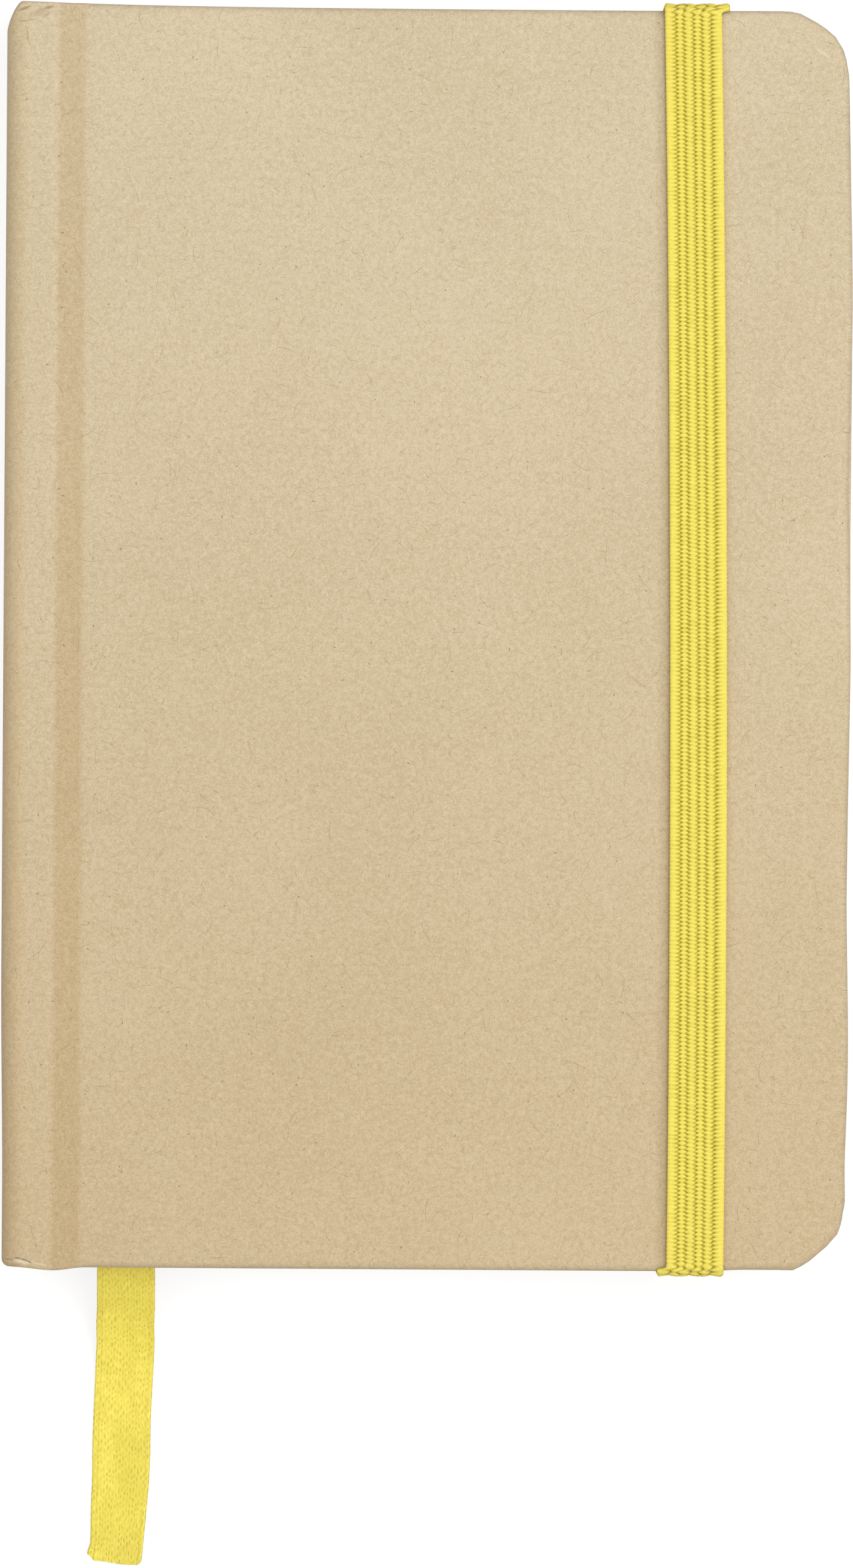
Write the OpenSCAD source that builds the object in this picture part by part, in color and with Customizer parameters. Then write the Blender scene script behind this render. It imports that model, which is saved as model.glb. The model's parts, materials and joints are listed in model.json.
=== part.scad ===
// A pocket notebook: kraft paper over boards, a closing elastic and a ribbon marker.
// It lies on its back cover. +Z leaves the front cover, +Y points to the head of the
// pages and +X to the fore-edge. The origin is on the table under the closed book's middle.

/* [Cover] */
// Height of the covers, from tail to head
cover_h = 142; // [120:1:180]
// Width of the closed book, from spine to fore-edge
cover_w = 95; // [80:1:130]
// Radius of the covers' corners at the fore-edge
corner_r = 8; // [4:0.2:10]
// Thickness of the board in each cover
board_t = 2; // [1.5:0.1:3]
// Thickness of the kraft paper
kraft_t = 0.3; // [0.2:0.05:0.4]
// Radius of the paper where it turns round a board's edge
edge_r = 0.9; // [0.6:0.1:1]
// Width of the paper that is turned in and glued inside a cover
turn_in = 13; // [11:0.5:18]

/* [Spine] */
// Radius of the shoulders where the paper turns over the spine
shoulder_r = 2.6; // [2.3:0.1:3]
// How far the ridge of a shoulder lies below the face of its cover
ridge_drop = 0.1; // [0:0.05:0.3]
// Distance from the back of the spine to the bottom of the groove
groove_at = 7.3; // [7.2:0.1:9]
// Depth of the groove
groove_depth = 0.6; // [0.4:0.1:1.3]
// Width of the groove's slope towards the spine
groove_inner = 2.5; // [2:0.1:4]
// Width of the groove's slope towards the board
groove_outer = 1.9; // [1.4:0.1:2.4]
// Thickness of the card in the spine
spine_card_t = 1.2; // [0.8:0.1:1.3]
// Opening of the paper along each hinge
hinge_gap = 0.3; // [0.2:0.05:0.4]

/* [Pages] */
// Number of sewn sections
sections = 6; // [4:1:8]
// Leaves in a section
leaves_per_section = 16; // [8:2:24]
// Thickness of one leaf
leaf_t = 0.09; // [0.07:0.01:0.12]
// Distance by which the covers stand out past the pages
square = 3; // [2:0.5:4]
// Radius of the pages' corners at the fore-edge
page_corner_r = 6; // [3:0.5:8]
// Thickness of the gauze and glue on the backs of the sections
lining_t = 0.4; // [0.2:0.05:0.6]
// Width of the gauze that laps over the first and last leaf
lining_lap = 4; // [2:0.5:4]
// Thickness of an endpaper's leaf
endpaper_t = 0.12; // [0.1:0.01:0.16]

/* [Elastic] */
// Width of the elastic
band_w = 6.4; // [4:0.2:10]
// Thickness of the elastic over its ribs
band_t = 0.8; // [0.6:0.05:1.2]
// Distance from the fore-edge to the middle of the elastic
band_in = 17.2; // [12:0.1:30]
// Number of lengthwise ribs
band_ribs = 6; // [4:1:10]
// Depth of the valleys between the ribs
rib_depth = 0.15; // [0.05:0.01:0.25]
// Distance from the back cover's head or tail edge to its slit
slit_in = 9; // [6:0.5:15]
// Length of the elastic's glued end under the endpaper
band_tail = 12; // [8:0.5:20]

/* [Ribbon] */
// Width of the ribbon marker
ribbon_w = 6.6; // [4:0.1:8]
// Thickness of the ribbon marker
ribbon_t = 0.3; // [0.2:0.05:0.4]

/* [Hidden] */

// Room between the pages and the endpapers, and between an endpaper's two leaves
page_clear = 0.1;
leaf_gap = 0.06;
// Length of an endpaper's fold
fold_w = 0.15;
// Hollow behind the spine's card
hollow = 0.3;
// The gauze ends this far short of the pages at head and tail
lining_short = 2;
// Room between the elastic and the covers' edges, and round it in its slits
band_gap = 0.1;
slit_clear = 0.15;
// Room round the ribbon in the pages
ribbon_clear = 0.06;
ribbon_side_clear = 0.3;
// How far a cutting body reaches past what it cuts
cut = 1;
// Angle at which the spine's card ends on each shoulder
card_end = 105;
// Chords in a quarter turn and in the groove, and the turn of a chord on a shoulder
turn_steps = 8;
groove_steps = 16;
shoulder_step = 7.5;

section_t = leaves_per_section * leaf_t;
block_t = sections * section_t;
cover_t = board_t + kraft_t;
endpaper_stack = 2 * endpaper_t + leaf_gap;
book_t = block_t + 2 * (cover_t + endpaper_stack + page_clear);

x_spine = -cover_w / 2;
x_fore = cover_w / 2;
y_head = cover_h / 2;
z_back = band_t;
z_front = z_back + book_t;
z_mid = (z_back + z_front) / 2;
z_inside = z_front - cover_t;
z_ridge = z_front - ridge_drop;

x_groove = x_spine + groove_at;
x_flat = x_groove + groove_outer;
x_board = x_flat + kraft_t;
x_cover_paper = x_groove + hinge_gap / 2;
x_spine_paper = x_groove - hinge_gap / 2;
x_endpaper = x_groove + hinge_gap;

block_x0 = x_spine + 2 * kraft_t + spine_card_t + hollow + lining_t;
block_x1 = x_fore - square;
block_y = y_head - square;
block_z0 = z_mid - block_t / 2;

x_band = x_fore - band_in;
bend_r = edge_r - band_gap;
bend_y = y_head + band_gap - bend_r;
flat_t = band_t - rib_depth;
slit_y = y_head - slit_in;
slit_w = band_w + 2 * slit_clear;
back_inside = z_back + cover_t;

// The ribbon's glued end near the head of the spine, and where it leaves the pages
ribbon_end = [x_spine + 7.3, y_head - 4, z_mid];
ribbon_exit = [x_spine + 13.9, square - y_head, z_mid];
inside_steps = 4;

// The ribbon's loose length: along X and Y from where it leaves the pages, height as a
// share of the middle of the pages, and its turn about its own line
loose_route = [
    [0.1, -2, 0.985, 0], [0.1, -4, 0.91, 0], [0.1, -6, 0.77, 0], [0.1, -8, 0.575, 0],
    [0, -10, 0.385, 0], [0, -12, 0.23, 0], [-0.1, -14, 0.13, 0], [-0.2, -16.5, 0.07, 0],
    [-0.3, -19, 0.055, 1], [-0.4, -22, 0.055, 2], [-0.45, -25, 0.065, 4], [-0.5, -28, 0.1, 9],
    [-0.65, -31, 0.165, 17], [-0.8, -34, 0.22, 23], [-0.95, -37, 0.26, 28]
];
ribbon_route = concat(
    [for (i = [0:inside_steps]) let (p = ribbon_end + (ribbon_exit - ribbon_end) * i / inside_steps)
        [p[0], p[1], p[2], 0]],
    [for (p = loose_route) [ribbon_exit[0] + p[0], ribbon_exit[1] + p[1], z_mid * p[2], p[3]]]
);

// Points on an arc about (cx, cz), from angle a0 to a1
function arc(cx, cz, r, a0, a1, n) =
    [for (i = [0:n]) let (a = a0 + (a1 - a0) * i / n) [cx + r * cos(a), cz + r * sin(a)]];

// A smooth bump, 1 at 0 and level with the ground at -1 and 1
function bell(u) = abs(u) < 1 ? (1 + cos(180 * u)) / 2 : 0;

// Height of the front's outer face at x, from the ridge through the groove to the board
function face_z(x) =
    x < x_groove
        ? z_ridge - (groove_depth - ridge_drop) * bell((x - x_groove) / groove_inner)
        : z_front - groove_depth * bell((x - x_groove) / groove_outer);

function face_path(x0, x1, n) = [for (i = [0:n]) let (x = x0 + (x1 - x0) * i / n) [x, face_z(x)]];

function shoulder(a1) =
    arc(x_spine + shoulder_r, z_ridge - shoulder_r, shoulder_r, 180, a1, (180 - a1) / shoulder_step);

function without_first(p) = [for (i = [1:len(p) - 1]) p[i]];

function reversed(p) = [for (i = [len(p) - 1:-1:0]) p[i]];

// A path over the front half, continued round the spine to the back half
function round_spine(p) = concat([for (q = reversed(p)) [q[0], 2 * z_mid - q[1]]], p);

function inward(p, i) =
    let (d = p[min(i + 1, len(p) - 1)] - p[max(i - 1, 0)]) [d[1], -d[0]] / norm(d);

function shifted(p, t) = [for (i = [0:len(p) - 1]) p[i] + t * inward(p, i)];

// The layer between two depths under a path
module layer(p, from, to) {
    polygon(concat(shifted(p, from), reversed(shifted(p, to))));
}

// Extrudes a profile drawn in X and Z along Y, centred
module along_spine(length) {
    rotate([90, 0, 0])
        linear_extrude(length, center = true)
            children();
}

// The same profile at the head and the tail, each reaching this far in from the edge
module at_both_ends(outer, length) {
    for (side = [0, 1])
        mirror([0, side, 0])
            translate([0, outer - length / 2, 0])
                along_spine(length)
                    children();
}

// Flips a piece of the front cover to the back cover
module on_back() {
    translate([0, 0, 2 * z_mid])
        mirror([0, 0, 1])
            children();
}

// Runs a profile round the head, fore-edge and tail of a cover. Its X is the distance in
// from the edge and its Y is the height.
module round_edges() {
    for (side = [0, 1])
        mirror([0, side, 0]) {
            translate([x_flat, y_head, 0])
                rotate([90, 0, 90])
                    linear_extrude(x_fore - corner_r - x_flat)
                        mirror([1, 0])
                            children();
            translate([x_fore - corner_r, y_head - corner_r, 0])
                rotate_extrude(angle = 90)
                    translate([corner_r, 0])
                        mirror([1, 0])
                            children();
        }
    translate([x_fore, 0, 0])
        rotate([90, 0, 0])
            linear_extrude(cover_h - 2 * corner_r, center = true)
                mirror([1, 0])
                    children();
}

// Section of a cover's edge with both its corners rounded, out to the corner radius
module edge_section(inset, low, high, r) {
    polygon(concat(
        [[corner_r, low]],
        arc(inset + r, low + r, r, 270, 180, turn_steps),
        arc(inset + r, high - r, r, 180, 90, turn_steps),
        [[corner_r, high]]
    ));
}

// A flat sheet within the covers' outline, set in from it on the three open sides
module inner_plate(x0, inset, low, high) {
    translate([x0, -(y_head - inset), low])
        cube([x_fore - inset - x0, 2 * (y_head - inset), high - low]);
}

// Outline of a leaf, with its corners rounded at the fore-edge
module leaf_outline(x0) {
    corner = arc(block_x1 - page_corner_r, block_y - page_corner_r, page_corner_r, 0, 90, 2 * turn_steps);
    polygon(concat(
        [[x0, -block_y]],
        [for (p = reversed(corner)) [p[0], -p[1]]],
        corner,
        [[x0, block_y]]
    ));
}

// Section of the pages across the spine, with the rounded folds of the sewn sections
module block_section() {
    fold_r = section_t / 2;
    polygon(concat(
        [[block_x1 + cut, block_z0]],
        [for (k = [0:sections - 1])
            each arc(block_x0 + fold_r, block_z0 + (k + 0.5) * section_t, fold_r, 270, 90, turn_steps)],
        [[block_x1 + cut, block_z0 + block_t]]
    ));
}

module ribbon_slot() {
    way = ribbon_exit - ribbon_end;
    translate(ribbon_end)
        rotate([0, 0, atan2(way[1], way[0])])
            translate([-ribbon_side_clear, -ribbon_w / 2 - ribbon_side_clear, -ribbon_t / 2 - ribbon_clear])
                cube([2 * y_head, ribbon_w + 2 * ribbon_side_clear, ribbon_t + 2 * ribbon_clear]);
}

module page_block() {
    color("ivory")
        difference() {
            intersection() {
                translate([0, 0, block_z0 - cut])
                    linear_extrude(block_t + 2 * cut)
                        leaf_outline(block_x0 - cut);
                along_spine(cover_h)
                    block_section();
            }
            ribbon_slot();
        }
}

module spine_lining() {
    color("whitesmoke")
        along_spine(2 * (block_y - lining_short))
            difference() {
                translate([block_x0 - lining_t, block_z0 - lining_t])
                    square([lining_t + lining_lap, block_t + 2 * lining_t]);
                block_section();
            }
}

module spine_board() {
    color("tan")
        along_spine(cover_h - 2 * kraft_t)
            layer(round_spine(shoulder(card_end)), kraft_t, kraft_t + spine_card_t);
}

module board() {
    round_edges()
        edge_section(kraft_t, z_inside + kraft_t, z_front - kraft_t, edge_r - kraft_t);
    inner_plate(x_board, corner_r, z_inside + kraft_t, z_front - kraft_t);
    inner_plate(x_board, turn_in, z_inside, z_inside + kraft_t);
}

// A board starts a paper's thickness behind the groove's slope
module board_from_hinge() {
    difference() {
        board();
        translate([x_flat - cut, -cover_h, z_inside - cut])
            cube([kraft_t + cut, 2 * cover_h, cover_t + 2 * cut]);
    }
}

module front_board() {
    color("burlywood")
        board_from_hinge();
}

module back_board() {
    color("burlywood")
        difference() {
            on_back()
                board_from_hinge();
            band_ways();
        }
}

// The kraft paper of one cover: its face, its turned edges and what is glued inside
module cover_paper() {
    round_edges()
        difference() {
            edge_section(0, z_inside, z_front, edge_r);
            edge_section(kraft_t, z_inside + kraft_t, z_front - kraft_t, edge_r - kraft_t);
        }
    inner_plate(x_flat, corner_r, z_front - kraft_t, z_front);
    difference() {
        inner_plate(x_flat, corner_r, z_inside, z_inside + kraft_t);
        inner_plate(x_flat - cut, turn_in, z_inside - cut, z_inside + cut);
    }
    along_spine(cover_h)
        layer(face_path(x_cover_paper, x_flat, groove_steps), 0, kraft_t);
    at_both_ends(y_head, turn_in)
        layer(face_path(x_cover_paper, x_flat, groove_steps), kraft_t, 2 * kraft_t);
}

module front_cover_paper() {
    color("wheat")
        cover_paper();
}

module back_cover_paper() {
    color("wheat")
        difference() {
            on_back()
                cover_paper();
            band_ways();
        }
}

module spine_paper() {
    slope = face_path(x_spine + shoulder_r, x_spine_paper, groove_steps);
    face = round_spine(concat(shoulder(90), without_first(slope)));
    card = round_spine(shoulder(card_end));
    wrap = 2 * kraft_t + spine_card_t;
    color("wheat") {
        along_spine(cover_h)
            layer(face, 0, kraft_t);
        at_both_ends(y_head, turn_in) {
            layer(card, kraft_t + spine_card_t, wrap);
            layer(slope, kraft_t, 2 * kraft_t);
            layer([for (q = reversed(slope)) [q[0], 2 * z_mid - q[1]]], kraft_t, 2 * kraft_t);
        }
        at_both_ends(y_head, kraft_t)
            layer(card, 0, wrap);
    }
}

// A folded sheet: one leaf glued in the cover, the other free
module endpaper() {
    for (low = [z_inside - endpaper_t, z_inside - endpaper_stack])
        translate([0, 0, low])
            linear_extrude(endpaper_t)
                leaf_outline(x_endpaper);
    translate([x_endpaper, -block_y, z_inside - endpaper_stack])
        cube([fold_w, 2 * block_y, endpaper_stack]);
}

module front_endpaper() {
    color("beige")
        endpaper();
}

module back_endpaper() {
    color("beige")
        on_back()
            endpaper();
}

// The elastic's section: X across it, Y from its inner to its ribbed outer face
function band_points() =
    let (w = band_w / band_ribs, shallow = rib_depth / 3) concat(
        [[band_w / 2, 0], [-band_w / 2, 0]],
        [for (k = [0:band_ribs - 1]) let (x = k * w - band_w / 2)
            each [[x, flat_t], [x + 0.2 * w, band_t - shallow], [x + 0.5 * w, band_t],
                  [x + 0.8 * w, band_t - shallow]]],
        [[band_w / 2, flat_t]]
    );

module band_section() {
    polygon(band_points());
}

// A quarter turn round the head edge of a cover, about an axis along X
module band_bend(start) {
    rotate([0, 90, 0])
        rotate([0, 0, start])
            rotate_extrude(angle = 90)
                polygon([for (p = band_points()) [bend_r + p[1], p[0]]]);
}

// The elastic from the middle of the front cover round the head, as far as its glued end
module half_band() {
    translate([0, bend_y, z_front])
        rotate([90, 0, 0])
            linear_extrude(bend_y)
                band_section();
    translate([0, bend_y, z_front - bend_r])
        band_bend(90);
    translate([0, y_head + band_gap, z_back + bend_r])
        linear_extrude(book_t - 2 * bend_r)
            band_section();
    translate([0, bend_y, z_back + bend_r])
        band_bend(0);
    translate([0, bend_y, z_back])
        rotate([90, 0, 0])
            linear_extrude(bend_y - slit_y)
                mirror([0, 1])
                    band_section();
    translate([-band_w / 2, slit_y, z_back - flat_t])
        cube([band_w, flat_t, cover_t + flat_t]);
    translate([-band_w / 2, slit_y - band_tail, back_inside - flat_t])
        cube([band_w, band_tail + flat_t, flat_t]);
}

// The slits through the back cover and the beds of the elastic's glued ends
module band_ways() {
    for (side = [0, 1])
        mirror([0, side, 0])
            translate([x_band - slit_w / 2, 0, 0]) {
                translate([0, slit_y - slit_clear, z_back - cut])
                    cube([slit_w, flat_t + 2 * slit_clear, cover_t + 2 * cut]);
                translate([0, slit_y - band_tail - slit_clear, back_inside - flat_t - leaf_gap])
                    cube([slit_w, band_tail + 2 * slit_clear, cover_t]);
            }
}

module elastic_band() {
    color("gold")
        for (side = [0, 1])
            mirror([0, side, 0])
                translate([x_band, 0, 0])
                    half_band();
}

// The four corners of the ribbon's section at a point of its route
function ribbon_corners(i) =
    let (p = ribbon_route[i], last = len(ribbon_route) - 1,
         d = ribbon_route[min(i + 1, last)] - ribbon_route[max(i - 1, 0)],
         way = [d[0], d[1], d[2]] / norm([d[0], d[1], d[2]]),
         flat_side = [-way[1], way[0], 0] / norm([way[1], way[0]]),
         up = cross(flat_side, way),
         across = flat_side * cos(p[3]) + (up[2] > 0 ? up : -up) * sin(p[3]),
         out = cross(across, way))
    [for (c = [[-1, -1], [1, -1], [1, 1], [-1, 1]])
        [p[0], p[1], p[2]] + across * c[0] * ribbon_w / 2 + out * c[1] * ribbon_t / 2];

module ribbon_marker() {
    n = len(ribbon_route);
    points = [for (i = [0:n - 1]) each ribbon_corners(i)];
    sides = [for (i = [0:n - 2], k = [0:3])
        let (a = 4 * i + k, b = 4 * i + (k + 1) % 4)
        each [[a, a + 4, b], [b, a + 4, b + 4]]];
    last = 4 * (n - 1);
    color("yellow")
        polyhedron(points, concat(sides, [[0, 1, 2], [0, 2, 3]],
            [[last, last + 2, last + 1], [last, last + 3, last + 2]]));
}

page_block();
spine_lining();
spine_board();
front_board();
back_board();
front_cover_paper();
spine_paper();
back_cover_paper();
front_endpaper();
back_endpaper();
elastic_band();
ribbon_marker();
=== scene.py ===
"""A pocket notebook: kraft paper covers, sewn lined pages, a yellow elastic and a ribbon marker."""

import json
import math
import random

import bmesh
import bpy
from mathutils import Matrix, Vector, noise


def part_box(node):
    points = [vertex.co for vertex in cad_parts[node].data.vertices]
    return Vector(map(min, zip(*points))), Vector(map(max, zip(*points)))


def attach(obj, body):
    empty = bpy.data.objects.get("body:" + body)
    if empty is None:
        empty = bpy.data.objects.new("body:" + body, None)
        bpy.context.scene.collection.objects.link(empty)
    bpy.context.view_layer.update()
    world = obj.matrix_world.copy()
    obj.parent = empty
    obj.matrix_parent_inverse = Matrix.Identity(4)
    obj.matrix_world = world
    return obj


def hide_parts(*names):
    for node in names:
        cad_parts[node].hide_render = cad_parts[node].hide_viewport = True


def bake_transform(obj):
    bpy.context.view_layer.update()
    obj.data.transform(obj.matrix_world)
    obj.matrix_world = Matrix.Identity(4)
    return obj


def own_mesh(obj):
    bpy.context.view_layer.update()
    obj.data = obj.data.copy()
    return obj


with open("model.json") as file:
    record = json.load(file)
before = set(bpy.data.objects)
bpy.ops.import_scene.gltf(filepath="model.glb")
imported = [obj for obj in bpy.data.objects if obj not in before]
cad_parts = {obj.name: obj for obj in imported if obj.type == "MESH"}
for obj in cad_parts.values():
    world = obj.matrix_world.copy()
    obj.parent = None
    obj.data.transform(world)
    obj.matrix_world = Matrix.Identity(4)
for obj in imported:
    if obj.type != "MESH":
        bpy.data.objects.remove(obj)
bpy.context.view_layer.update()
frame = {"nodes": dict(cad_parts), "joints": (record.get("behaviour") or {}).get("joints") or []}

MM = 0.001

# Height of the photograph, its scale in pixels a metre at the front cover, its middle on the
# book and the turn of the book in it
PHOTO_H = 2576
PHOTO_SCALE = 14.62 / MM
PHOTO_MIDDLE = (0.10 * MM, -16.4 * MM)
PHOTO_TURN = math.radians(0.38)

# Sizes of the covers and pages, as built
CORNER_R = 8 * MM
EDGE_R = 0.9 * MM
KRAFT_T = 0.3 * MM
SHOULDER_R = 2.6 * MM
RIDGE_DROP = 0.1 * MM
GROOVE_DEPTH = 0.6 * MM
GROOVE_INNER = 2.5 * MM
GROOVE_OUTER = 1.9 * MM
SPINE_T = 1.8 * MM
TURN_IN = 13 * MM
FORE_SQUARE = 3 * MM
PAGE_CORNER_R = 6 * MM
SECTIONS, LEAVES = 6, 16

# How far the elastic lies off its straight course: its shift at the middle, and what its
# skew takes from that at the head and its bow at both ends
BAND_SHIFT, BAND_SKEW, BAND_BOW = 0.25 * MM, 0.545 * MM, 0.505 * MM

spine_low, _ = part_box("spine_paper")
cover_low, cover_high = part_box("front_cover_paper")
back_low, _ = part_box("back_cover_paper")
block_low, block_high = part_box("page_block")
band_low, band_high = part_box("elastic_band")

X_SPINE, X_FORE = spine_low.x, cover_high.x
Y_HEAD = cover_high.y
Z_FRONT, Z_BACK = cover_high.z, back_low.z
Z_MID = (Z_FRONT + Z_BACK) / 2
Z_RIDGE = Z_FRONT - RIDGE_DROP
COVER_T = Z_FRONT - cover_low.z
X_GROOVE = frame["joints"][0]["pos_m"][0]
X_FLAT = X_GROOVE + GROOVE_OUTER


def new_object(name, bm, materials, smooth=True):
    """Makes an object of a finished bmesh, with its place in its mesh."""
    mesh = bpy.data.meshes.new(name)
    bm.to_mesh(mesh)
    bm.free()
    for material in materials:
        mesh.materials.append(material)
    for polygon in mesh.polygons:
        polygon.use_smooth = smooth
    piece = bpy.data.objects.new(name, mesh)
    bpy.context.scene.collection.objects.link(piece)
    return piece


def smoothstep(low, high, value):
    """0 up to low, 1 from high on, and a smooth change between."""
    t = min(1, max(0, (value - low) / (high - low)))
    return t * t * (3 - 2 * t)


def mix(a, b, t):
    """The value at a share t of the way from a to b."""
    return a + (b - a) * t


class Nodes:
    """A material's node tree with short calls for the nodes that the finishes share."""

    def __init__(self, name):
        self.material = bpy.data.materials.new(name)
        self.material.use_nodes = True
        self.tree = self.material.node_tree
        self.shader = self.tree.nodes["Principled BSDF"]

    def add(self, kind, inputs=None, **settings):
        """Makes a node, with its inputs linked or set."""
        made = self.tree.nodes.new(kind)
        for key, value in settings.items():
            setattr(made, key, value)
        for key, value in (inputs or {}).items():
            self.put(value, made.inputs[key])
        return made

    def put(self, value, socket):
        """Links an output to a socket, or sets the socket's plain value."""
        if isinstance(value, bpy.types.NodeSocket):
            self.tree.links.new(value, socket)
        else:
            socket.default_value = value

    def object_coordinates(self):
        return self.add("ShaderNodeTexCoord").outputs["Object"]

    def uv(self, scale=(1, 1, 1)):
        """The piece's own chart in metres, across and along, stretched by a scale."""
        source = self.add("ShaderNodeTexCoord").outputs["UV"]
        return self.add("ShaderNodeMapping", {"Vector": source, "Scale": scale}).outputs[0]

    def noise(self, where, scale, detail, roughness):
        inputs = {"Vector": where, "Scale": scale, "Detail": detail, "Roughness": roughness}
        return self.add("ShaderNodeTexNoise", inputs).outputs["Fac"]

    def math(self, operation, a, b=0.0):
        made = self.add("ShaderNodeMath", operation=operation)
        self.put(a, made.inputs[0])
        self.put(b, made.inputs[1])
        return made.outputs[0]

    def band(self, value, low, high, to_low=0.0, to_high=1.0):
        """A smooth change from to_low at low to to_high at high. High may be below low."""
        made = self.add("ShaderNodeMapRange", {0: value, 1: low, 2: high, 3: to_low, 4: to_high},
                        interpolation_type="SMOOTHSTEP")
        return made.outputs[0]

    def blend_colour(self, share, a, b, kind="MIX"):
        """Colour a with a share of colour b laid over it."""
        made = self.add("ShaderNodeMix", data_type="RGBA", blend_type=kind)
        self.put(share, made.inputs[0])
        self.put(a, made.inputs[6])
        self.put(b, made.inputs[7])
        return made.outputs[2]

    def sheet_plane(self, shift):
        """Object coordinates of the sheet laid flat: X runs on round the spine."""
        x, y = self.math("ADD", self.place("X"), self.place("Z")), self.place("Y")
        moved = {"X": self.math("ADD", x, shift), "Y": self.math("ADD", y, shift * 0.7), "Z": 0.0}
        return self.add("ShaderNodeCombineXYZ", moved).outputs[0]

    def strands(self, shift, cell, reach, half_width, bend, share):
        """Curved lines of one width: in a share of scattered cells, each turned and bent its own way."""
        where = self.sheet_plane(shift)
        cells = self.add("ShaderNodeTexVoronoi", {"Vector": where, "Scale": 1 / cell},
                         voronoi_dimensions="2D").outputs
        chance = self.add("ShaderNodeSeparateColor", {"Color": cells["Color"]}).outputs
        local = self.add("ShaderNodeVectorMath", {0: where, 1: cells["Position"]}, operation="SUBTRACT")
        turn = self.math("MULTIPLY", chance[0], 2 * math.pi)
        turned = self.add("ShaderNodeVectorRotate", {"Vector": local.outputs[0], "Angle": turn},
                          rotation_type="Z_AXIS").outputs[0]
        parts = self.add("ShaderNodeSeparateXYZ", {"Vector": turned}).outputs
        curve = self.math("MULTIPLY", self.math("SUBTRACT", chance[1], 0.5), 2 * bend / reach)
        arc = self.math("MULTIPLY", curve, self.math("MULTIPLY", parts["X"], parts["X"]))
        off = self.math("ABSOLUTE", self.math("SUBTRACT", parts["Y"], arc))
        line = self.band(off, half_width, half_width * 0.4)
        length = self.math("SUBTRACT", reach, self.math("MULTIPLY", chance[2], 0.6 * reach / share))
        past = self.math("SUBTRACT", self.math("ABSOLUTE", parts["X"]), length)
        ends = self.band(past, 0.0, -0.15 * reach)
        kept = self.math("LESS_THAN", chance[2], share)
        return self.math("MULTIPLY", self.math("MULTIPLY", line, ends), kept)

    def around(self, centre, size, turn=0.0):
        """Distance from a point, where size is the length that counts as 1 along each axis."""
        inputs = {"Vector": self.object_coordinates(), "Location": centre,
                  "Rotation": (0, 0, turn), "Scale": size}
        local = self.add("ShaderNodeMapping", inputs, vector_type="TEXTURE").outputs[0]
        return self.add("ShaderNodeVectorMath", {0: local}, operation="LENGTH").outputs["Value"]

    def smudge(self, centre, size, turn=0.0):
        """A soft oval spot: 1 near a point, 0 past its size."""
        return self.band(self.around(centre, size, turn), 1.0, 0.3)

    def place(self, axis):
        """One of the object coordinates."""
        return self.add("ShaderNodeSeparateXYZ", {"Vector": self.object_coordinates()}).outputs[axis]

    def stripe(self, value, low, high, soft):
        """1 between low and high, with soft borders."""
        after = self.band(value, low - soft, low + soft)
        before = self.band(value, high + soft, high - soft)
        return self.math("MULTIPLY", after, before)

    def bump(self, height, distance, strength):
        """Relief of a height field, where distance is how deep it goes."""
        inputs = {"Height": height, "Distance": distance, "Strength": strength}
        return self.add("ShaderNodeBump", inputs).outputs[0]

    def finish(self, colour, roughness, normal=None, **plain):
        """Feeds the shader. Values that are the same all over go on its own sockets."""
        self.put(colour, self.shader.inputs["Base Color"])
        self.put(roughness, self.shader.inputs["Roughness"])
        if normal is not None:
            self.put(normal, self.shader.inputs["Normal"])
        for key, value in plain.items():
            self.shader.inputs[key.replace("_", " ")].default_value = value
        return self.material


# Colours of the kraft paper, its wear and its fibres; some also paint shade and highlights of creases
KRAFT_DARK = (0.566, 0.459, 0.292, 1)
KRAFT_LIGHT = (0.682, 0.572, 0.392, 1)
KRAFT_PALE = (0.790, 0.700, 0.540, 1)
KRAFT_BROWN = (0.390, 0.275, 0.140, 1)
FIBRE_ORANGE = (0.560, 0.350, 0.160, 1)
FIBRE_BROWN = (0.330, 0.225, 0.115, 1)
SPECK = (0.180, 0.120, 0.060, 1)

# Painted shade that multiplies the paper's colour: darker and warmer towards the tail, warmer on the
# shoulder and in the groove, darker in the groove's inner half, and the elastic's shadow beside and under
# it
KRAFT_TAIL_SHADE = (0.930, 0.880, 0.808, 1)
KRAFT_WARM_SHADE = (1.000, 0.958, 0.890, 1)
KRAFT_GROOVE_SHADE = (0.905, 0.905, 0.905, 1)
KRAFT_BAND_SHADOW = (0.840, 0.830, 0.810, 1)

# Colours of the pages and their lining
PAGE_DARK = (0.835, 0.790, 0.665, 1)
PAGE_LIGHT = (0.900, 0.862, 0.745, 1)
PAGE_CLOUD = (0.850, 0.800, 0.665, 1)
RULE_GREY = (0.42, 0.42, 0.44, 1)
GAUZE_GLUE = (0.62, 0.58, 0.48, 1)
GAUZE_THREAD = (0.85, 0.83, 0.76, 1)

# Ruled lines: their pitch, the first one below the head, half a line and the bare tail
RULE_PITCH = 6.5 * MM
RULE_TOP = 16 * MM
RULE_HALF = 0.09 * MM
RULE_END = 8 * MM

# Colours of the elastic and the ribbon; the elastic's shade colour is painted shade between its stitches,
# and the ribbon's deep colour paints its weave and some shade
ELASTIC_SHADE = (0.300, 0.230, 0.008, 1)
ELASTIC_BRIGHT = (0.915, 0.775, 0.135, 1)
ELASTIC_FUZZ = (0.680, 0.550, 0.075, 1)
RIBBON_DEEP = (0.470, 0.370, 0.015, 1)
RIBBON_SHADE = (0.890, 0.722, 0.090, 1)
RIBBON_BRIGHT = (1.000, 0.856, 0.141, 1)

# The satin's threads: their width and how far each runs before a cross thread holds it
SATIN_THREAD, SATIN_FLOAT = 0.35 * MM, 0.85 * MM


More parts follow.
